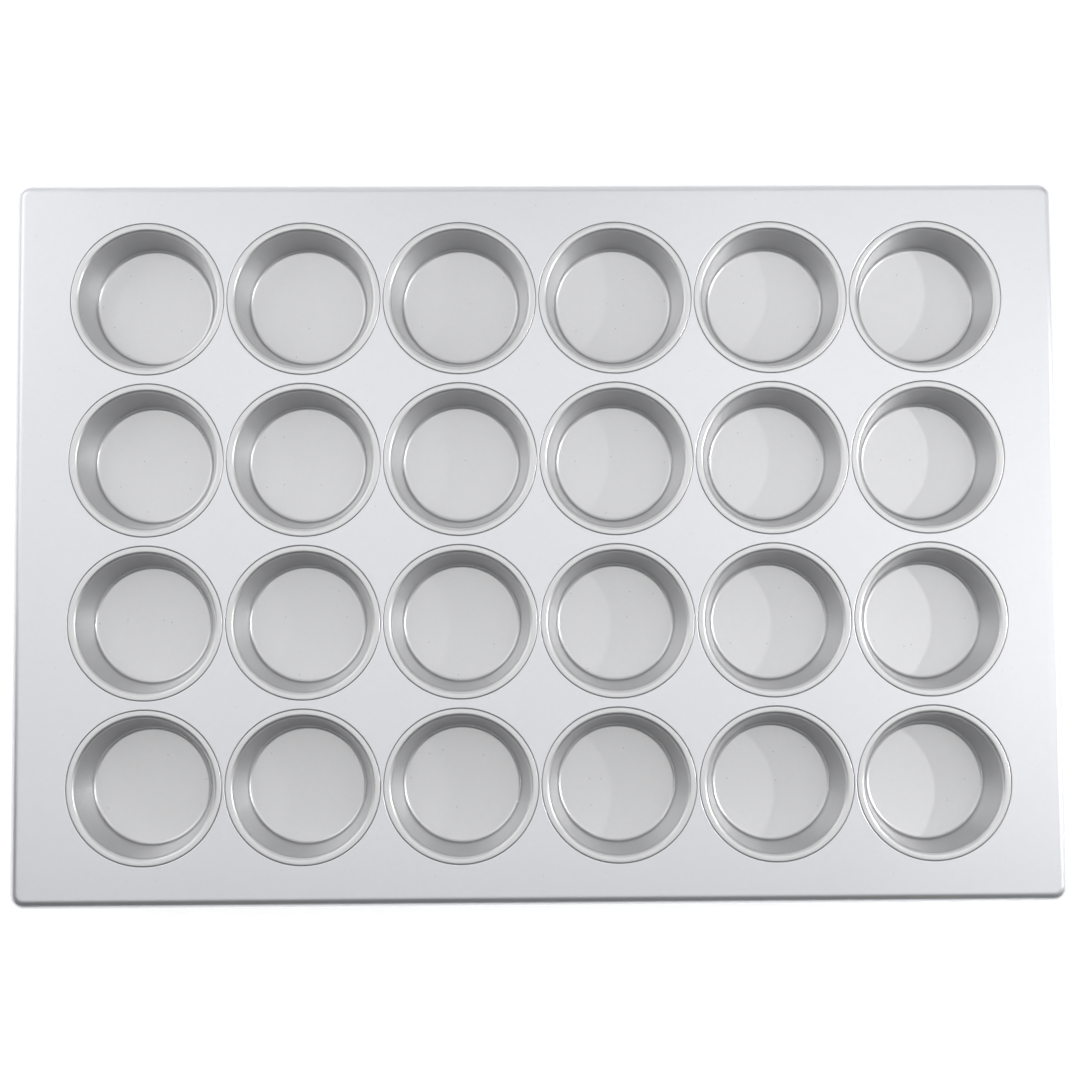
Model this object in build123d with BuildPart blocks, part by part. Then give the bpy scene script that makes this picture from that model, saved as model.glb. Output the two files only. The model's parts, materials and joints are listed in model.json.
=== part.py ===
from build123d import *
import os

# Full-size muffin tin: a drawn top sheet with a wired rim and a grid of separately drawn cups locked into it.
#
# Frame: millimetres, +Z up. The origin is the centre of the footprint, on the plane that the cups stand on.
# X runs along the long side, Y along the short side. Rows count from the back (+Y), columns from the left (-X).

# Whole tin
SHEET_LENGTH = 657.2  # outside of the rim, 25 7/8 in
SHEET_WIDTH = 454.0  # outside of the rim, 17 7/8 in
HEIGHT = 31.75  # from the cups' undersides to the top of the sheet, 1 1/4 in
GAUGE = 0.6  # sheet steel thickness, in the sheet and in the cups
COLUMNS = 6
ROWS = 4
PITCH_X = 98.2  # centre to centre of neighbouring cups
PITCH_Y = 102.0

# Cup, measured on its inside skin
FLOOR_RADIUS = 37.4  # where the line of the wall meets the floor
MOUTH_RADIUS = 43.3  # where the line of the wall meets the top plane
FLOOR_FILLET = 3.0
LIP_RADIUS = 2.8  # rounding of the mouth

# Seam between cup and sheet: the cup's edge hangs in a slot that the sheet's collar makes
SEAM_RADIUS = 48.2
SEAM_BEND = 0.7  # rounding of both skins where they turn down into the seam
CUP_EDGE_DEPTH = 3.2  # lowest point of the cup's edge, below the top plane
COLLAR_TIP_DEPTH = 1.2  # free edge of the collar, below the top plane
LAYER_GAP = 0.02  # between pressed layers, and round the wire

# Rim
RIM_BEND = 6.0  # outside radius where the panel turns down into the skirt
SKIRT = 1.0  # straight part between the bend and the curl
RIM_CORNER = 9.5  # outside corner radius in plan, 3/8 in
WIRE_RADIUS = 2.38  # 3/16 in wire
CURL_TURN = 240.0  # how many degrees of the wire the curl goes round
WIRE_END_GAP = 0.5  # the wire's two ends butt here, in the middle of the front side

# Worked out from the values above
SLOT = GAUGE + 2 * LAYER_GAP
CURL_RADIUS = WIRE_RADIUS + LAYER_GAP + GAUGE
WIRE_Z = HEIGHT - RIM_BEND - SKIRT
CORNER_X = SHEET_LENGTH / 2 - RIM_CORNER
CORNER_Y = SHEET_WIDTH / 2 - RIM_CORNER


def cup_centre(row, column):
    """Where a cup's axis stands: row 1 is the back row, column 1 the left column."""
    x = (column - (COLUMNS + 1) / 2) * PITCH_X
    y = ((ROWS + 1) / 2 - row) * PITCH_Y
    return x, y


def section_plane(x, y, outward):
    """Upright plane through (x, y), with the sketch's X along outward and its Y along +Z."""
    outward = Vector(*outward)
    return Plane(origin=(x, y, 0), x_dir=outward, z_dir=outward.cross(Vector(0, 0, 1)))


def cup_section(plane):
    """Half section of a cup, with the sketch's Y as the cup's axis."""
    edge = SEAM_RADIUS - LAYER_GAP
    with BuildSketch(plane) as section:
        with BuildLine():
            FilletPolyline(
                (0, GAUGE),
                (FLOOR_RADIUS, GAUGE),
                (MOUTH_RADIUS, HEIGHT),
                (edge, HEIGHT),
                (edge, HEIGHT - CUP_EDGE_DEPTH),
                radius=[FLOOR_FILLET, LIP_RADIUS, SEAM_BEND],
            )
            offset(amount=GAUGE, side=Side.RIGHT)
        make_face()
    return section.sketch


def collar_section(plane):
    """Half section of the collar: down outside the cup's edge, across below it, and up inside it."""
    turn_z = HEIGHT - CUP_EDGE_DEPTH - LAYER_GAP
    with BuildSketch(plane) as section:
        with BuildLine():
            CenterArc((SEAM_RADIUS + SEAM_BEND, HEIGHT - SEAM_BEND), SEAM_BEND, 90, 90)
            Polyline(
                (SEAM_RADIUS, HEIGHT - SEAM_BEND),
                (SEAM_RADIUS, turn_z),
                (SEAM_RADIUS - SLOT, turn_z),
                (SEAM_RADIUS - SLOT, HEIGHT - COLLAR_TIP_DEPTH),
            )
            offset(amount=GAUGE, side=Side.LEFT, kind=Kind.INTERSECTION)
        make_face()
    return section.sketch


def rim_section(plane):
    """Section of the rim, with the sketch's Y on the rim's outside face: bend, skirt and curl."""
    with BuildSketch(plane) as section:
        with BuildLine():
            CenterArc((-RIM_BEND, HEIGHT - RIM_BEND), RIM_BEND, 90, -90)
            Line((0, HEIGHT - RIM_BEND), (0, WIRE_Z))
            CenterArc((-CURL_RADIUS, WIRE_Z), CURL_RADIUS, 0, -CURL_TURN)
            offset(amount=GAUGE, side=Side.LEFT)
        make_face()
    return section.sketch


os.makedirs("parts", exist_ok=True)

# Cups: every cup is its own pressing, with a floor, a flared wall, a rounded mouth, a flat land and a turned edge
for row in range(1, ROWS + 1):
    for column in range(1, COLUMNS + 1):
        x, y = cup_centre(row, column)
        with BuildPart() as cup:
            revolve(cup_section(section_plane(x, y, (1, 0, 0))), axis=Axis((x, y, 0), (0, 0, 1)))
        cup.part.label = f"cup_r{row}_c{column}"
        export_step(cup.part, f"parts/{cup.part.label}.step")

# Top sheet: flat panel, one collar at each cup, and the rim along the sides and round the corners
with BuildPart() as top_sheet:
    with BuildSketch(Plane.XY.offset(HEIGHT - GAUGE)):
        RectangleRounded(SHEET_LENGTH - 2 * RIM_BEND, SHEET_WIDTH - 2 * RIM_BEND, RIM_CORNER - RIM_BEND)
        with GridLocations(PITCH_X, PITCH_Y, COLUMNS, ROWS):
            Circle(SEAM_RADIUS + SEAM_BEND, mode=Mode.SUBTRACT)
    extrude(amount=GAUGE)

    for row in range(1, ROWS + 1):
        for column in range(1, COLUMNS + 1):
            x, y = cup_centre(row, column)
            revolve(collar_section(section_plane(x, y, (1, 0, 0))), axis=Axis((x, y, 0), (0, 0, 1)))

    for side in (-1, 1):
        end_rim = rim_section(section_plane(side * SHEET_LENGTH / 2, 0, (side, 0, 0)))
        extrude(end_rim, amount=CORNER_Y, both=True)
        long_rim = rim_section(section_plane(0, side * SHEET_WIDTH / 2, (0, side, 0)))
        extrude(long_rim, amount=CORNER_X, both=True)

    for side_x in (-1, 1):
        for side_y in (-1, 1):
            corner_rim = rim_section(section_plane(side_x * SHEET_LENGTH / 2, side_y * CORNER_Y, (side_x, 0, 0)))
            corner_axis = Axis((side_x * CORNER_X, side_y * CORNER_Y, 0), (0, 0, side_x * side_y))
            revolve(corner_rim, axis=corner_axis, revolution_arc=90)
top_sheet.part.label = "top_sheet"
export_step(top_sheet.part, "parts/top_sheet.step")

# Rim wire: one length of wire bent to the rim's outline, held by the curl, with its ends butted at the front
with BuildPart() as rim_wire:
    wire_x = SHEET_LENGTH / 2 - CURL_RADIUS
    wire_y = SHEET_WIDTH / 2 - CURL_RADIUS
    with BuildLine(Plane.XY.offset(WIRE_Z)) as centre_line:
        FilletPolyline(
            (WIRE_END_GAP / 2, -wire_y),
            (wire_x, -wire_y),
            (wire_x, wire_y),
            (-wire_x, wire_y),
            (-wire_x, -wire_y),
            (-WIRE_END_GAP / 2, -wire_y),
            radius=RIM_CORNER - CURL_RADIUS,
        )
    with BuildSketch(Plane(origin=centre_line.line @ 0, z_dir=centre_line.line % 0)):
        Circle(WIRE_RADIUS)
    sweep(path=centre_line.line)
rim_wire.part.label = "rim_wire"
export_step(rim_wire.part, "parts/rim_wire.step")
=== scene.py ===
"""Muffin tin: a sheet-metal tin with seamed cups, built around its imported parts. Metres, +Z up."""

import json
import math

import bmesh
import bpy
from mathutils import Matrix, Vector

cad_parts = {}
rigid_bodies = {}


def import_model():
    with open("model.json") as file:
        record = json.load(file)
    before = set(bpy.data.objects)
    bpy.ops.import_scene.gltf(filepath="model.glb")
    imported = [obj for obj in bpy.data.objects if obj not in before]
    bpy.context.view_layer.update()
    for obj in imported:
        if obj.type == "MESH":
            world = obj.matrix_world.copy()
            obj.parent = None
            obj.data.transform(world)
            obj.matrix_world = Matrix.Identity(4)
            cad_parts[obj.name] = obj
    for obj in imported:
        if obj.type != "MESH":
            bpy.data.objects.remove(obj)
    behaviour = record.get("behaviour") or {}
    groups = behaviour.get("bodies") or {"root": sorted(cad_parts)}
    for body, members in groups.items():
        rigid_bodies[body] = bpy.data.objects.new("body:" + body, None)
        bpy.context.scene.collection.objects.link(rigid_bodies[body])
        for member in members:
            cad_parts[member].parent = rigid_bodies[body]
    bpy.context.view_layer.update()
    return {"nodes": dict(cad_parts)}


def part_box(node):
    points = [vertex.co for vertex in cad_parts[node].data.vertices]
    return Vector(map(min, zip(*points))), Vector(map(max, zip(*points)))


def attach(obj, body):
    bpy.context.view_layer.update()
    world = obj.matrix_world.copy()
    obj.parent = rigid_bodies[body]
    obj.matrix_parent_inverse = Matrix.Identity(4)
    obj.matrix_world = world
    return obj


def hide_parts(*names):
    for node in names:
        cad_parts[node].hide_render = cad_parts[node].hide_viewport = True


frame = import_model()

bl_info = {
    "name": "Muffin tin",
    "version": (1, 0, 0),
    "blender": (4, 5, 0),
    "location": "View3D > Sidebar > Muffin tin",
    "description": "Presses the sheet and cups of a muffin tin, finishes their steel and sets up a studio",
    "category": "Object",
}

BODY = "root"
WELD = 1e-6  # points nearer than this are one point
HUB = 0.01  # radius of the circle that a section is turned round; the turned shape doesn't depend on it
SHARP_ANGLE = math.radians(40)


# Sizes and colours ------------------------------------------------------------------------------------------

def length(name, description, default):
    """A size property, in metres."""
    return bpy.props.FloatProperty(name=name, description=description, default=default, min=0, precision=5,
                                   subtype="DISTANCE", unit="LENGTH")


def colour(name, description, default):
    """A colour property, as linear red, green and blue."""
    return bpy.props.FloatVectorProperty(name=name, description=description, default=default, min=0, max=1,
                                         size=3, subtype="COLOR")


def share(name, description, default, top=1.0):
    """A plain number property that starts at 0."""
    return bpy.props.FloatProperty(name=name, description=description, default=default, min=0, max=top)


def watts(name, description, default):
    """A lamp's power, in watts."""
    return bpy.props.FloatProperty(name=name, description=description, default=default, min=0, max=1000)


class TinSizes(bpy.types.PropertyGroup):
    """Sizes of the pressed sheet, the cups and the rim."""

    gauge: length("Gauge", "Thickness of the sheet steel", 0.0006)
    floor_radius: length("Floor radius", "Where the line of a cup's wall meets its floor", 0.0374)
    mouth_radius: length("Mouth radius", "Where the line of a cup's wall meets the top plane", 0.0433)
    floor_fillet: length("Floor fillet", "Inside rounding between a cup's floor and wall", 0.0030)
    lip_radius: length("Lip radius", "Rounding of a cup's mouth", 0.0028)
    seam_radius: length("Seam radius", "Radius of the seam between a cup and the sheet", 0.0482)
    seam_bend: length("Seam bend", "Rounding of both skins where they turn down into the seam", 0.0007)
    cup_edge_depth: length("Cup edge depth", "How far a cup's edge hangs below the top plane", 0.0032)
    collar_tip_depth: length("Collar tip depth", "Depth of the collar's free edge", 0.0012)
    layer_gap: length("Layer gap", "Gap between pressed layers", 0.00002)
    rim_bend: length("Rim bend", "Outside radius where the panel turns down into the rim", 0.0060)
    rim_corner: length("Rim corner", "Outside corner radius of the rim in plan", 0.0095)
    wire_radius: length("Wire radius", "Radius of the wire in the rim", 0.00238)
    curl_turn: bpy.props.FloatProperty(name="Curl turn", description="How far the curl goes round the wire",
                                       default=math.radians(240), subtype="ANGLE", unit="ROTATION")
    segments: bpy.props.IntProperty(name="Segments", description="Steps round each cup", default=120, min=24)
    arc_steps: bpy.props.IntProperty(name="Arc steps", description="Steps in each rounded bend", default=6,
                                     min=2)


class TinFinish(bpy.types.PropertyGroup):
    """Colours and gloss of the steel."""

    sheet_colour: colour("Sheet colour", "Colour of the top sheet's steel", (0.795, 0.803, 0.835))
    # The cups' colour is darker than the sheet's, though both are the same glazed steel: painted shade for the
    # sunken cups.
    cup_colour: colour("Cup colour", "Colour of the cups' steel", (0.71, 0.712, 0.722))
    wire_colour: colour("Wire colour", "Colour of the rim wire", (0.42, 0.42, 0.43))
    metallic: share("Metallic", "How much of the surface reflects as bare metal", 0.8)
    roughness: share("Roughness", "Roughness of the steel under its glaze", 0.40)
    glaze: share("Glaze", "Amount of clear baked glaze over the steel", 0.6)
    glaze_roughness: share("Glaze roughness", "Roughness of the glaze", 0.16)
    # Strength of the painted shade along the seams and in the floors' corners.
    seam_and_corner_shade: share("Seam and corner shade", "How dark the seams and the corners of the floors are", 0.5)


class StudioLook(bpy.types.PropertyGroup):
    """Light, floor and backdrop of the studio."""

    floor_colour: colour("Floor colour", "Colour of the studio floor", (0.93, 0.93, 0.93))
    floor_glow: share("Floor glow", "Light that the floor gives off by itself, like a lit table", 0.6, top=10.0)
    sky_colour: colour("Sky colour", "Colour of the light from all round", (1.0, 1.0, 1.0))
    sky_strength: share("Sky strength", "Brightness of the light from all round", 0.04, top=10.0)
    right_power: watts("Right power", "Power of the long low softbox on the right", 1.3)
    left_power: watts("Left power", "Power of the low softbox at the back left", 2.8)
    back_power: watts("Back power", "Power of the low softbox behind the tin", 2.6)
    high_right_power: watts("High right power", "Power of the raised softbox on the right", 3.4)
    high_left_power: watts("High left power", "Power of the raised softbox on the left", 2.6)
    high_back_power: watts("High back power", "Power of the raised softbox behind the tin", 1.0)
    high_front_power: watts("High front power", "Power of the raised softbox in front", 1.7)
    top_power: watts("Top power", "Power of the softbox overhead", 2.45)
    key_power: watts("Key power", "Power of the small hard lamp on the right", 3.6)


# Node trees -------------------------------------------------------------------------------------------------

class Value:
    """A number that a node gives, so that maths on it can be written as an expression."""

    def __init__(self, tree, socket):
        self.tree = tree
        self.socket = socket

    def maths(self, operation, first, second=None):
        sockets = {0: first} if second is None else {0: first, 1: second}
        return self.tree.value("ShaderNodeMath", {"operation": operation}, sockets)

    def __add__(self, other):
        return self.maths("ADD", self, other)

    def __radd__(self, other):
        return self.maths("ADD", other, self)

    def __sub__(self, other):
        return self.maths("SUBTRACT", self, other)

    def __rsub__(self, other):
        return self.maths("SUBTRACT", other, self)

    def __mul__(self, other):
        return self.maths("MULTIPLY", self, other)

    def __rmul__(self, other):
        return self.maths("MULTIPLY", other, self)

    def __truediv__(self, other):
        return self.maths("DIVIDE", self, other)

    def __pow__(self, other):
        return self.maths("POWER", self, other)

    def __neg__(self):
        return self.maths("MULTIPLY", self, -1.0)

    def __abs__(self):
        return self.maths("ABSOLUTE", self)

    def fraction(self):
        return self.maths("FRACT", self)

    def __gt__(self, other):
        return self.maths("GREATER_THAN", self, other)

    def __lt__(self, other):
        return self.maths("LESS_THAN", self, other)


class Tree:
    """Adds nodes to one node tree."""

    def __init__(self, tree):
        self.tree = tree

    def node(self, kind, settings=None, sockets=None):
        """A new node: its settings are set first, then the values or links of its sockets."""
        made = self.tree.nodes.new(kind)
        for name, setting in (settings or {}).items():
            setattr(made, name, setting)
        for name, given in (sockets or {}).items():
            self.feed(made.inputs[name], given)
        return made

    def value(self, kind, settings=None, sockets=None, output=0):
        """The same, but gives one of the node's outputs."""
        return Value(self, self.node(kind, settings, sockets).outputs[output])

    def feed(self, socket, given):
        if isinstance(given, Value):
            self.tree.links.new(given.socket, socket)
        elif given is not None:
            socket.default_value = given

    def parts(self, vector):
        """The X, Y and Z of a vector, as three values."""
        split = self.node("ShaderNodeSeparateXYZ", sockets={0: vector})
        return [Value(self, split.outputs[i]) for i in range(3)]

    def vector(self, x, y, z):
        return self.value("ShaderNodeCombineXYZ", sockets={0: x, 1: y, 2: z})


SOCKET_KINDS = {float: "NodeSocketFloat", int: "NodeSocketInt", "geometry": "NodeSocketGeometry",
                "vector": "NodeSocketVector", "material": "NodeSocketMaterial"}


class ShapeTree(Tree):
    """A Geometry Nodes tree with named inputs, of the kinds float, int, "geometry", "vector" and "material"."""

    def __init__(self, name, inputs):
        super().__init__(bpy.data.node_groups.new(name, "GeometryNodeTree"))
        face = self.tree.interface
        self.ids = {}
        for label, kind in inputs.items():
            item = face.new_socket(label, in_out="INPUT", socket_type=SOCKET_KINDS[kind])
            self.ids[label] = item.identifier
        face.new_socket("Geometry", in_out="OUTPUT", socket_type="NodeSocketGeometry")
        self.start = self.node("NodeGroupInput")

    def given(self, label):
        """One of the tree's named inputs."""
        return Value(self, self.start.outputs[label])

    def finish(self, shape):
        """Ends the tree: real geometry, smooth, with its material."""
        shape = self.value("GeometryNodeRealizeInstances", sockets={"Geometry": shape})
        shape = self.value("GeometryNodeSetShadeSmooth", sockets={"Geometry": shape})
        material = self.given("Material")
        shape = self.value("GeometryNodeSetMaterial", sockets={"Geometry": shape, "Material": material})
        self.node("NodeGroupOutput", sockets={"Geometry": shape})
        return self

    def profile(self, section):
        """A section's edges as a curve, from upright (radius, 0, height) points, with their X and Z, for the
        caller to lay as a swept profile.
        """
        curve = self.value("GeometryNodeMeshToCurve", sockets={"Mesh": section})
        x, _, z = self.parts(self.value("GeometryNodeInputPosition"))
        return curve, x, z

    def turned(self, section, segments):
        """A section turned all the way round the Z axis."""
        curve, x, z = self.profile(section)
        laid = self.vector(x - HUB, -z, 0.0)
        curve = self.value("GeometryNodeSetPosition", sockets={"Geometry": curve, "Position": laid})
        ring = self.value("GeometryNodeCurvePrimitiveCircle", sockets={"Resolution": segments, "Radius": HUB})
        skin = self.value("GeometryNodeCurveToMesh", sockets={"Curve": ring, "Profile Curve": curve})
        return self.value("GeometryNodeMergeByDistance", sockets={"Geometry": skin, "Distance": WELD})


# Sections of the pressed steel, as lines of (out, up) points ------------------------------------------------

def arc(centre, radius, start, turn, steps):
    """Points along a round stretch. Angles are in radians, and a positive turn is anticlockwise."""
    angles = [start + turn * i / steps for i in range(steps + 1)]
    return [(centre[0] + radius * math.cos(a), centre[1] + radius * math.sin(a)) for a in angles]


def rounded(corners, radii, steps):
    """A line through the corners, with each inner corner rounded to its radius."""
    line = [corners[0]]
    for before, corner, after, radius in zip(corners, corners[1:], corners[2:], radii):
        corner = Vector(corner)
        back = (Vector(before) - corner).normalized()
        ahead = (Vector(after) - corner).normalized()
        half = back.angle(ahead) / 2
        centre = corner + (back + ahead).normalized() * (radius / math.sin(half))
        start = corner + back * (radius / math.tan(half)) - centre
        side = math.copysign(1, back.cross(ahead))
        line += arc(centre, radius, math.atan2(start.y, start.x), side * (2 * half - math.pi), steps)
    line.append(corners[-1])
    return line


def cup_section(sizes, top):
    """Inside skin of a cup, from the middle of its floor to the end of its turned edge."""
    edge = sizes.seam_radius - sizes.layer_gap
    floor = sizes.gauge
    corners = [(0, floor), (sizes.floor_radius, floor), (sizes.mouth_radius, top), (edge, top),
               (edge, top - sizes.cup_edge_depth)]
    return rounded(corners, [sizes.floor_fillet, sizes.lip_radius, sizes.seam_bend], sizes.arc_steps)


def collar_section(sizes, top, apron):
    """Skin of the collar: an apron of flat sheet, down outside the cup's edge, round below it and up inside."""
    slot = sizes.gauge + 2 * sizes.layer_gap
    foot = top - sizes.cup_edge_depth - sizes.layer_gap
    outer = sizes.seam_radius
    line = [(outer + sizes.seam_bend + apron, top)]
    line += arc((outer + sizes.seam_bend, top - sizes.seam_bend), sizes.seam_bend, math.pi / 2, math.pi / 2,
                sizes.arc_steps)
    line += arc((outer - slot / 2, foot), slot / 2, 0, -math.pi, sizes.arc_steps // 2)
    line.append((outer - slot, top - sizes.collar_tip_depth))
    return line


def rim_section(sizes, top, wire_height, apron):
    """Skin of the rim, from an apron of flat sheet through bend and skirt to the curl's free edge.

    Out is 0 on the rim's outside face.
    """
    curl = sizes.wire_radius + sizes.layer_gap + sizes.gauge
    line = [(-sizes.rim_bend - apron, top)]
    line += arc((-sizes.rim_bend, top - sizes.rim_bend), sizes.rim_bend, math.pi / 2, -math.pi / 2,
                2 * sizes.arc_steps)
    line += arc((-curl, wire_height), curl, 0, -sizes.curl_turn, 4 * sizes.arc_steps)
    return line


# Making the pieces ------------------------------------------------------------------------------------------

def line_mesh(name, lines):
    """A mesh of plain edges along some upright lines. Attribute line counts them, from 0."""
    points = []
    edges = []
    numbers = []
    for number, line in enumerate(lines):
        first = len(points)
        points += [(out, 0, up) for out, up in line]
        edges += [(i, i + 1) for i in range(first, len(points) - 1)]
        numbers += [number] * len(line)
    mesh = bpy.data.meshes.new(name)
    mesh.from_pydata(points, edges, [])
    mesh.attributes.new("line", "INT", "POINT").data.foreach_set("value", numbers)
    return mesh


def settle(piece):
    """Turns a piece's modifiers into plain mesh."""
    graph = bpy.context.evaluated_depsgraph_get()
    made = piece.evaluated_get(graph)
    mesh = bpy.data.meshes.new_from_object(made, preserve_all_data_layers=True, depsgraph=graph)
    piece.modifiers.clear()
    piece.data = mesh
    mesh.name = piece.name


def face_up(mesh):
    """Makes a skin's faces agree, with the side that is seen from above as their front."""
    skin = bmesh.new()
    skin.from_mesh(mesh)
    bmesh.ops.recalc_face_normals(skin, faces=skin.faces)
    if sum(face.normal.z * face.calc_area() for face in skin.faces) < 0:
        bmesh.ops.reverse_faces(skin, faces=skin.faces)
    skin.to_mesh(mesh)
    skin.free()


def pressed(name, sections, tree, inputs, gauge):
    """A sheet-metal piece: the skin that a tree makes from its sections, thickened behind to the gauge."""
    piece = bpy.data.objects.new(name, line_mesh(name, sections))
    bpy.context.scene.collection.objects.link(piece)
    maker = piece.modifiers.new(name, "NODES")
    maker.node_group = tree.tree
    for label, given in inputs.items():
        maker[tree.ids[label]] = given
    settle(piece)
    face_up(piece.data)
    wall = piece.modifiers.new("gauge", "SOLIDIFY")
    wall.thickness = gauge
    wall.offset = -1
    wall.use_even_offset = True
    settle(piece)
    for attribute in [a.name for a in piece.data.attributes if a.name == "line"]:
        piece.data.attributes.remove(piece.data.attributes[attribute])
    piece.data.shade_smooth()
    piece.data.set_sharp_from_angle(angle=SHARP_ANGLE)
    return piece


def cup_grid():
    """Each cup node's centre in plan, the number of columns and rows, and the pitch both ways."""
    places = {}
    for node in frame["nodes"]:
        if node.startswith("cup_r"):
            row, column = node.removeprefix("cup_r").split("_c")
            places[node] = (int(row), int(column))
    rows = max(row for row, _ in places.values())
    columns = max(column for _, column in places.values())
    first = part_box("cup_r1_c1")[0]
    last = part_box(f"cup_r{rows}_c{columns}")[0]
    pitch_x = (last.x - first.x) / (columns - 1)
    pitch_y = (first.y - last.y) / (rows - 1)
    centres = {node: Vector(((column - (columns + 1) / 2) * pitch_x, ((rows + 1) / 2 - row) * pitch_y, 0))
               for node, (row, column) in places.items()}
    return centres, columns, rows, pitch_x, pitch_y


def cup_tree():
    """Turns a cup's section round its axis and puts it in its place."""
    tree = ShapeTree("Turned cup", {
        "Section": "geometry", "Segments": int, "Centre": "vector", "Material": "material"})
    cup = tree.turned(tree.given("Section"), tree.given("Segments"))
    cup = tree.value("GeometryNodeTransform", sockets={"Geometry": cup, "Translation": tree.given("Centre")})
    return tree.finish(cup)


def sheet_tree():
    """Repeats the collar on the grid of cups, sweeps the rim round the sheet, and fills the panel between."""
    tree = ShapeTree("Pressed top sheet", {
        "Sections": "geometry", "Segments": int, "Columns": int, "Rows": int,
        "Pitch X": float, "Pitch Y": float, "Length": float, "Width": float,
        "Corner": float, "Corner Steps": int, "Top": float, "Material": "material"})
    number = tree.value("GeometryNodeInputNamedAttribute", {"data_type": "INT"}, {"Name": "line"})
    parted = tree.node("GeometryNodeSeparateGeometry", {"domain": "POINT"},
                       {"Geometry": tree.given("Sections"), "Selection": number > 0.5})
    rim_line = Value(tree, parted.outputs["Selection"])
    collar_line = Value(tree, parted.outputs["Inverted"])

    grid = tree.value("GeometryNodeMeshGrid", sockets={
        "Size X": tree.given("Pitch X") * (tree.given("Columns") - 1.0),
        "Size Y": tree.given("Pitch Y") * (tree.given("Rows") - 1.0),
        "Vertices X": tree.given("Columns"), "Vertices Y": tree.given("Rows")})
    collar = tree.turned(collar_line, tree.given("Segments"))
    collars = tree.value("GeometryNodeInstanceOnPoints", sockets={"Points": grid, "Instance": collar})
    collars = tree.value("GeometryNodeRealizeInstances", sockets={"Geometry": collars})

    outline = tree.value("GeometryNodeCurvePrimitiveQuadrilateral", {"mode": "RECTANGLE"},
                         {"Width": tree.given("Length"), "Height": tree.given("Width")})
    outline = tree.value("GeometryNodeFilletCurve", {"mode": "POLY"}, {
        "Curve": outline, "Count": tree.given("Corner Steps"), "Radius": tree.given("Corner")})
    section, x, z = tree.profile(rim_line)
    laid = tree.vector(x, -z, 0.0)
    section = tree.value("GeometryNodeSetPosition", sockets={"Geometry": section, "Position": laid})
    rim = tree.value("GeometryNodeCurveToMesh", sockets={"Curve": outline, "Profile Curve": section})

    skin = tree.node("GeometryNodeJoinGeometry")
    tree.tree.links.new(collars.socket, skin.inputs[0])
    tree.tree.links.new(rim.socket, skin.inputs[0])
    neighbours = tree.value("GeometryNodeInputMeshEdgeNeighbors")
    height = tree.parts(tree.value("GeometryNodeInputPosition"))[2]
    on_panel = (neighbours < 1.5) * (height > tree.given("Top") - WELD)
    edges = tree.value("GeometryNodeMeshToCurve", sockets={
        "Mesh": Value(tree, skin.outputs[0]), "Selection": on_panel})
    panel = tree.value("GeometryNodeFillCurve", {"mode": "TRIANGLES"}, {"Curve": edges})
    panel = tree.value("GeometryNodeTransform", sockets={
        "Geometry": panel, "Translation": tree.vector(0.0, 0.0, tree.given("Top"))})
    whole = tree.node("GeometryNodeJoinGeometry")
    tree.tree.links.new(skin.outputs[0], whole.inputs[0])
    tree.tree.links.new(panel.socket, whole.inputs[0])
    welded = tree.value("GeometryNodeMergeByDistance", sockets={"Geometry": Value(tree, whole.outputs[0]),
                                                                "Distance": WELD})
    return tree.finish(welded)


# Steel ------------------------------------------------------------------------------------------------------

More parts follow.
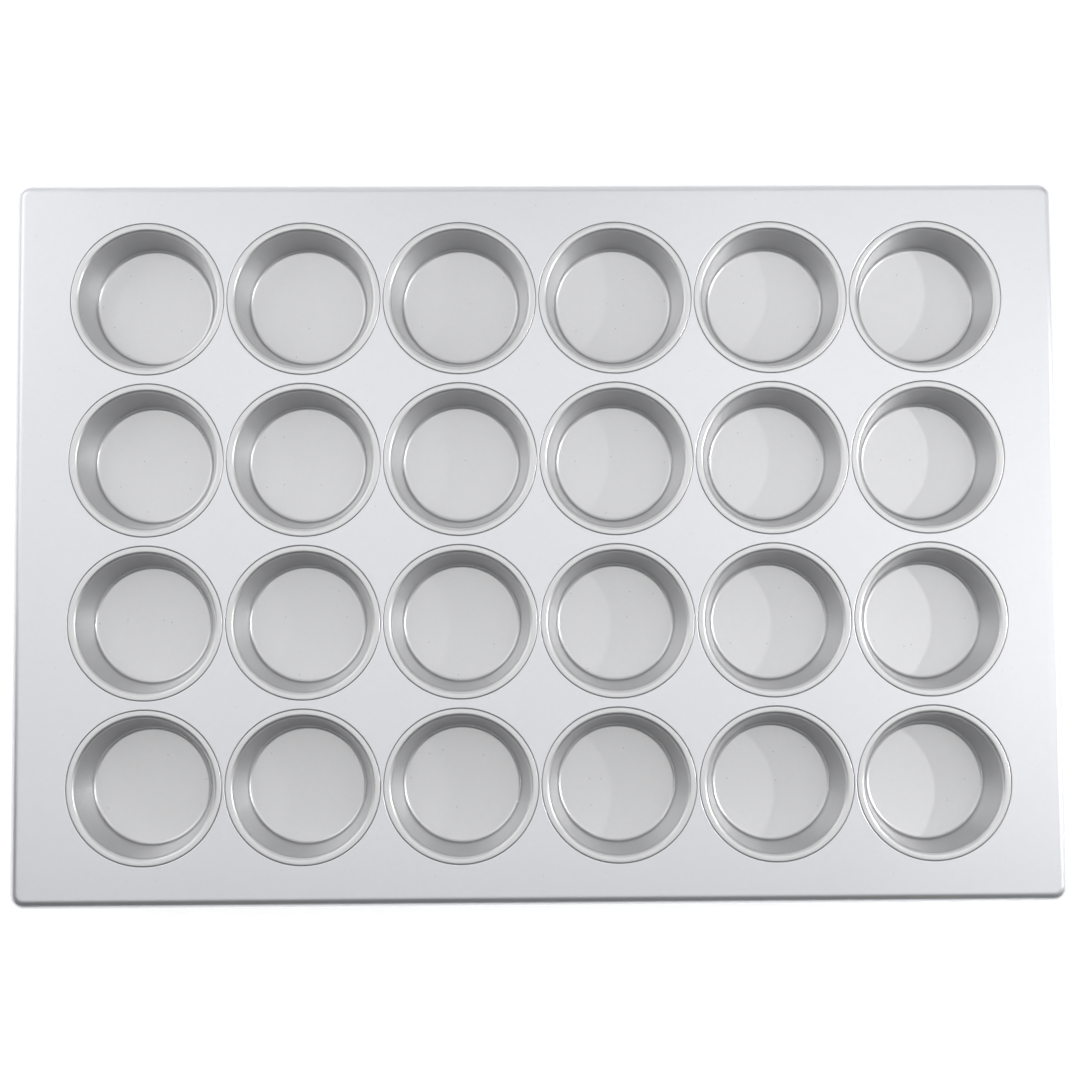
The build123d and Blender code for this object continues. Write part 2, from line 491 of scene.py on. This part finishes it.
class Finish(Tree):
    """A material's node tree, with one Principled shader."""

    def __init__(self, name):
        self.material = bpy.data.materials.new(name)
        self.material.use_nodes = True
        super().__init__(self.material.node_tree)
        self.shader = next(n for n in self.tree.nodes if n.type == "BSDF_PRINCIPLED")
        self.place = self.value("ShaderNodeTexCoord", output="Object")

    def noise(self, scale, detail=2.0, place=None):
        """A noise value of 0 to 1, with scale in cells to the metre."""
        return self.value("ShaderNodeTexNoise", sockets={"Vector": place or self.place, "Scale": scale,
                                                         "Detail": detail})

    def stretched(self, x, y, z):
        """Object coordinates, scaled differently along each axis."""
        sockets = {"Vector": self.place, "Scale": (x, y, z)}
        return self.value("ShaderNodeMapping", {"vector_type": "POINT"}, sockets)

    def step(self, value, low, high):
        """0 below low, 1 above high, and a smooth slope between."""
        return self.value("ShaderNodeMapRange", {"interpolation_type": "SMOOTHSTEP"},
                          {"Value": value, "From Min": low, "From Max": high})

    def ring(self, radius, at, width):
        """1 on a circle round each cup's axis, fading to 0 at width from it."""
        return 1.0 - self.step(abs(radius - at), 0.0, width)

    def from_cup(self):
        """How far a point is out from the nearest cup's axis along X and Y, its height, and its distance."""
        _, columns, rows, pitch_x, pitch_y = cup_grid()
        x, y, z = self.parts(self.place)
        out_x = x - self.nearest(x / pitch_x, columns) * pitch_x
        out_y = y - self.nearest(y / pitch_y, rows) * pitch_y
        return out_x, out_y, z, (out_x * out_x + out_y * out_y) ** 0.5

    def nearest(self, position, count):
        """The nearest of a row of count places that are 1 apart and centred on 0, never beyond the last one."""
        inside = self.value("ShaderNodeClamp", sockets={"Value": position, "Min": -count / 2 + 0.01,
                                                        "Max": count / 2 - 0.01})
        shifted = inside + count / 2
        return shifted - shifted.fraction() + (0.5 - count / 2)

    def spangle(self, size):
        """A random value of 0 to 1 for each crystal of the metal coating."""
        sockets = {"Vector": self.place, "Scale": 1 / size}
        cells = self.value("ShaderNodeTexVoronoi", {"feature": "F1"}, sockets, "Color")
        return self.parts(cells)[0]

    def specks(self, spacing, radius, portion):
        """1 in small round specks, in the given portion of cells that are spacing wide."""
        cells = self.node("ShaderNodeTexVoronoi", {"feature": "F1", "voronoi_dimensions": "2D"},
                          {"Vector": self.place, "Scale": 1 / spacing})
        chosen = self.parts(Value(self, cells.outputs["Color"]))[1] < portion
        distance = Value(self, cells.outputs["Distance"])
        return chosen * (1.0 - self.step(distance, 0.5 * radius / spacing, radius / spacing))

    def tint(self, colour, brightness):
        """A colour made brighter or darker by a value around 1."""
        grey = self.vector(brightness, brightness, brightness)
        return self.value("ShaderNodeVectorMath", {"operation": "MULTIPLY"}, {0: tuple(colour), 1: grey})

    def relief(self, height, distance):
        """A normal from a height of 0 to 1, where 1 is the given distance high."""
        return self.value("ShaderNodeBump", sockets={"Strength": 1.0, "Distance": distance, "Height": height})

    def glazed(self, look, colour, brightness, roughness, height):
        """Ends a glazed steel: the metal's colour, gloss and relief, under a clear baked glaze."""
        self.feed(self.shader.inputs["Base Color"], self.tint(colour, brightness))
        self.feed(self.shader.inputs["Roughness"], roughness)
        self.feed(self.shader.inputs["Normal"], self.relief(height, RELIEF))
        self.shader.inputs["Metallic"].default_value = look.metallic
        self.shader.inputs["Coat Weight"].default_value = look.glaze
        self.shader.inputs["Coat Roughness"].default_value = look.glaze_roughness
        return self.material


SPANGLE_SIZE = 0.0024  # width of one crystal of the aluminium coating
RELIEF = 0.000012  # height of the steel's grain
SEAM_SHADE = 0.00032  # half width of the painted shade line along a seam's groove
CORNER_SHADE = 0.0012  # half width of the painted shade ring in a floor's corner


def sheet_steel(look, sizes):
    """Glazed aluminized steel sheet: soft clouds, fine spangle, rolling grain along it, painted shade along the
    seams.
    """
    steel = Finish("glazed_sheet_steel")
    clouds = steel.noise(9.0, 3.0)
    spangle = steel.spangle(SPANGLE_SIZE)
    grain = steel.noise(1.0, 3.0, steel.stretched(120.0, 4200.0, 4200.0))
    scratches = steel.step(steel.noise(1.0, 1.0, steel.stretched(26.0, 2400.0, 2400.0)), 0.72, 0.80)
    radius = steel.from_cup()[3]
    # Painted shade: a dark line along the seam's groove between the sheet and each cup.
    seam = steel.ring(radius, sizes.seam_radius, SEAM_SHADE)
    specks = steel.specks(0.021, 0.0004, 0.3)
    brightness = 0.965 + clouds * 0.035 + spangle * 0.012 + grain * 0.016 + scratches * 0.02
    brightness = brightness * (1.0 - seam * look.seam_and_corner_shade) * (1.0 - specks * 0.25)
    roughness = look.roughness - 0.03 + clouds * 0.04 + grain * 0.03 + seam * 0.2
    return steel.glazed(look, look.sheet_colour, brightness, roughness, grain + spangle * 0.4)


def cup_steel(look, sizes):
    """Drawn steel of a cup: draw lines up the wall, faint rings and specks on the floor, painted shade along
    the seam and in the floor's corner.
    """
    steel = Finish("drawn_cup_steel")
    out_x, out_y, z, radius = steel.from_cup()
    clouds = steel.noise(30.0, 3.0)
    spangle = steel.spangle(SPANGLE_SIZE)
    wall = steel.step(radius, sizes.floor_radius - sizes.floor_fillet, sizes.floor_radius)
    draw = steel.noise(60.0, 3.0, steel.vector(out_x / radius, out_y / radius, z * 1.5))
    rings = steel.noise(900.0, 2.0, steel.vector(radius, 0.0, 0.0))
    grain = wall * draw + (1.0 - wall) * (0.7 * steel.noise(700.0, 3.0) + 0.3 * rings)
    # Painted shade: the same dark line along the seam's groove, on the cup's side.
    seam = steel.ring(radius, sizes.seam_radius, SEAM_SHADE)
    # Painted shade: a darker ring low down in the corner between each cup's floor and wall.
    low = 1.0 - steel.step(z, sizes.gauge, 4 * sizes.floor_fillet)
    corner = steel.ring(radius, sizes.floor_radius + sizes.layer_gap, CORNER_SHADE) * low
    specks = (1.0 - wall) * steel.specks(0.017, 0.00045, 0.28)
    brightness = 0.955 + clouds * 0.05 + spangle * 0.014 + grain * 0.03
    brightness = brightness * (1.0 - seam * look.seam_and_corner_shade) * (1.0 - corner * look.seam_and_corner_shade * 0.5)
    brightness = brightness * (1.0 - specks * 0.45)
    roughness = look.roughness - 0.03 + clouds * 0.05 + grain * 0.03 + seam * 0.2 - wall * 0.06
    return steel.glazed(look, look.cup_colour, brightness, roughness, grain + spangle * 0.4 - specks)


def wire_steel(look):
    """Plain drawn wire, darker and smoother than the sheet, with fine marks along its length."""
    steel = Finish("drawn_wire_steel")
    marks = steel.noise(900.0, 2.0)
    steel.feed(steel.shader.inputs["Base Color"], steel.tint(look.wire_colour, 0.9 + marks * 0.2))
    steel.feed(steel.shader.inputs["Roughness"], 0.3 + marks * 0.15)
    steel.shader.inputs["Metallic"].default_value = 1.0
    return steel.material


def floor_paint(look):
    """Matt pale paint of the studio floor."""
    paint = Finish("studio_floor")
    mottle = paint.noise(3.0, 2.0)
    paint.feed(paint.shader.inputs["Base Color"], paint.tint(look.floor_colour, 0.99 + mottle * 0.02))
    paint.shader.inputs["Roughness"].default_value = 0.9
    paint.shader.inputs["Emission Color"].default_value = (1, 1, 1, 1)
    paint.shader.inputs["Emission Strength"].default_value = look.floor_glow
    return paint.material


# Operators --------------------------------------------------------------------------------------------------

class TIN_OT_top_sheet(bpy.types.Operator):
    """Press the top sheet: flat panel, a collar round each cup, and the curled rim"""

    bl_idname = "tin.top_sheet"
    bl_label = "Top sheet"

    def execute(self, context):
        sizes = context.scene.tin_sizes
        low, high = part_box("top_sheet")
        _, columns, rows, pitch_x, pitch_y = cup_grid()
        wire_low, wire_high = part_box("rim_wire")
        wire_height = (wire_low.z + wire_high.z) / 2
        land = pitch_x / 2 - sizes.seam_radius - sizes.seam_bend
        sections = [collar_section(sizes, high.z, land / 2),
                    rim_section(sizes, high.z, wire_height, sizes.gauge)]
        inputs = {"Segments": sizes.segments, "Columns": columns, "Rows": rows,
                  "Pitch X": pitch_x, "Pitch Y": pitch_y,
                  "Length": high.x - low.x, "Width": high.y - low.y, "Corner": sizes.rim_corner,
                  "Corner Steps": 2 * sizes.arc_steps, "Top": high.z,
                  "Material": sheet_steel(context.scene.tin_finish, sizes)}
        sheet = pressed("glazed_top_sheet", sections, sheet_tree(), inputs, sizes.gauge)
        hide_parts("top_sheet")
        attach(sheet, BODY)
        return {"FINISHED"}


class TIN_OT_cups(bpy.types.Operator):
    """Draw every cup and set it in the sheet"""

    bl_idname = "tin.cups"
    bl_label = "Cups"

    def execute(self, context):
        sizes = context.scene.tin_sizes
        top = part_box("top_sheet")[1].z
        tree = cup_tree()
        steel = cup_steel(context.scene.tin_finish, sizes)
        centres = cup_grid()[0]
        for node, centre in sorted(centres.items()):
            inputs = {"Segments": sizes.segments, "Centre": centre, "Material": steel}
            cup = pressed("drawn_" + node, [cup_section(sizes, top)], tree, inputs, sizes.gauge)
            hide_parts(node)
            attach(cup, BODY)
        return {"FINISHED"}


class TIN_OT_rim_wire(bpy.types.Operator):
    """Give the rim wire its drawn steel"""

    bl_idname = "tin.rim_wire"
    bl_label = "Rim wire"

    def execute(self, context):
        wire = frame["nodes"]["rim_wire"]
        wire.data.materials.clear()
        wire.data.materials.append(wire_steel(context.scene.tin_finish))
        return {"FINISHED"}


CAMERA_PLACE = Vector((-0.01702, -0.0781, 1.1856))  # above the middle of the top panel
CAMERA_TURN = (3.764, -0.835, -0.362)  # degrees about X, Y and Z, from looking straight down
CAMERA_LENS = 63.29  # millimetres, on a 36 mm sensor
FLOOR_SIZE = 24.0
FLOOR_DROP = 0.0002  # the floor is this far below the cups


def wall_mesh(name, radius, bend, height, start, end, steps=80):
    """A round wall with a curved foot that stands on the floor and faces inwards.

    It runs from the start angle to the end angle, in degrees from +X round to +Y.
    """
    profile = arc((radius, bend), bend, -math.pi / 2, math.pi / 2, 12)
    profile.append((radius + bend, height))
    start, end = math.radians(start), math.radians(end)
    points = []
    faces = []
    for step in range(steps + 1):
        turn = start + (end - start) * step / steps
        points += [(out * math.cos(turn), out * math.sin(turn), up) for out, up in profile]
    for step in range(steps):
        for level in range(len(profile) - 1):
            low = step * len(profile) + level
            faces.append((low, low + 1, low + 1 + len(profile), low + len(profile)))
    mesh = bpy.data.meshes.new(name)
    mesh.from_pydata(points, [], faces)
    mesh.shade_smooth()
    return mesh


class TIN_OT_stage(bpy.types.Operator):
    """Set up the pale floor, the soft studio light and the camera above the tin"""

    bl_idname = "tin.stage"
    bl_label = "Studio"

    def execute(self, context):
        look = context.scene.studio_look
        scene = context.scene
        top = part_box("top_sheet")[1].z

        half = FLOOR_SIZE / 2
        ground = bpy.data.meshes.new("studio_floor")
        ground.from_pydata([(-half, -half, -FLOOR_DROP), (half, -half, -FLOOR_DROP), (half, half, -FLOOR_DROP),
                            (-half, half, -FLOOR_DROP)], [], [(0, 1, 2, 3)])
        reflector = wall_mesh("low_reflector", radius=2.3, bend=0.3, height=0.7, start=-30, end=210)
        surround = wall_mesh("studio_wall", radius=9.0, bend=2.5, height=9.0, start=-180, end=180)
        paint = floor_paint(look)
        for mesh in (ground, reflector, surround):
            mesh.materials.append(paint)
            piece = bpy.data.objects.new(mesh.name, mesh)
            scene.collection.objects.link(piece)
        # The reflector lights the rim from low down and isn't seen. The far wall is seen and lights nothing.
        scene.objects["low_reflector"].visible_camera = False
        far_wall = scene.objects["studio_wall"]
        far_wall.visible_diffuse = far_wall.visible_glossy = far_wall.visible_shadow = False

        world = bpy.data.worlds.new("studio_sky")
        world.use_nodes = True
        sky = world.node_tree.nodes["Background"]
        sky.inputs["Color"].default_value = (*look.sky_colour, 1)
        sky.inputs["Strength"].default_value = look.sky_strength
        scene.world = world

        self.lamp(scene, "right_softbox", (0, 35, 1.25), (1.5, 0.6), look.right_power)
        self.lamp(scene, "left_softbox", (155, 35, 1.25), (0.9, 0.6), look.left_power)
        self.lamp(scene, "back_softbox", (90, 35, 1.25), (1.6, 0.6), look.back_power)
        self.lamp(scene, "high_right_softbox", (15, 62, 1.5), (1.3, 0.75), look.high_right_power)
        self.lamp(scene, "high_left_softbox", (165, 62, 1.5), (1.3, 0.75), look.high_left_power)
        self.lamp(scene, "high_back_softbox", (92, 72, 1.7), (0.8, 0.5), look.high_back_power)
        self.lamp(scene, "high_front_softbox", (265, 72, 1.7), (1.7, 0.5), look.high_front_power)
        self.lamp(scene, "top_softbox", (0, 90, 1.9), (0.9, 0.9), look.top_power)
        self.lamp(scene, "key_lamp", (-1, 32, 1.22), (0.02, 0.02), look.key_power)

        camera = bpy.data.objects.new("camera", bpy.data.cameras.new("camera"))
        camera.data.lens = CAMERA_LENS
        camera.data.sensor_width = 36.0
        camera.location = CAMERA_PLACE + Vector((0, 0, top))
        camera.rotation_euler = [math.radians(turn) for turn in CAMERA_TURN]
        scene.collection.objects.link(camera)
        scene.camera = camera
        scene.view_settings.view_transform = "Standard"
        return {"FINISHED"}

    def lamp(self, scene, name, direction, size, power):
        """A flat rectangular lamp that faces the middle of the tin.

        Its direction is the angle from +X round to +Y and the angle above the floor, both in degrees, and the
        distance from the middle.
        """
        light = bpy.data.lights.new(name, "AREA")
        light.shape = "RECTANGLE"
        light.size, light.size_y = size
        light.energy = power
        lamp = bpy.data.objects.new(name, light)
        azimuth, elevation, distance = direction
        azimuth, elevation = math.radians(azimuth), math.radians(elevation)
        toward = Vector((math.cos(elevation) * math.cos(azimuth), math.cos(elevation) * math.sin(azimuth),
                         math.sin(elevation)))
        lamp.location = toward * distance
        lamp.rotation_euler = (-toward).to_track_quat("-Z", "Y").to_euler()
        scene.collection.objects.link(lamp)


class TIN_PT_panel(bpy.types.Panel):
    """Sidebar panel with the tin's settings and steps"""

    bl_idname = "TIN_PT_panel"
    bl_label = "Muffin tin"
    bl_space_type = "VIEW_3D"
    bl_region_type = "UI"
    bl_category = "Muffin tin"

    def draw(self, context):
        for group in (context.scene.tin_sizes, context.scene.tin_finish, context.scene.studio_look):
            box = self.layout.box()
            for name in group.bl_rna.properties.keys():
                if name not in ("rna_type", "name"):
                    box.prop(group, name)
        for operator in OPERATORS:
            self.layout.operator(operator.bl_idname)


OPERATORS = (TIN_OT_top_sheet, TIN_OT_cups, TIN_OT_rim_wire, TIN_OT_stage)
CLASSES = (TinSizes, TinFinish, StudioLook, *OPERATORS, TIN_PT_panel)


def register():
    for made in CLASSES:
        bpy.utils.register_class(made)
    bpy.types.Scene.tin_sizes = bpy.props.PointerProperty(type=TinSizes)
    bpy.types.Scene.tin_finish = bpy.props.PointerProperty(type=TinFinish)
    bpy.types.Scene.studio_look = bpy.props.PointerProperty(type=StudioLook)


def unregister():
    del bpy.types.Scene.studio_look
    del bpy.types.Scene.tin_finish
    del bpy.types.Scene.tin_sizes
    for made in reversed(CLASSES):
        bpy.utils.unregister_class(made)


def main():
    register()
    bpy.ops.tin.top_sheet()
    bpy.ops.tin.cups()
    bpy.ops.tin.rim_wire()
    bpy.ops.tin.stage()


if __name__ == "__main__":
    main()
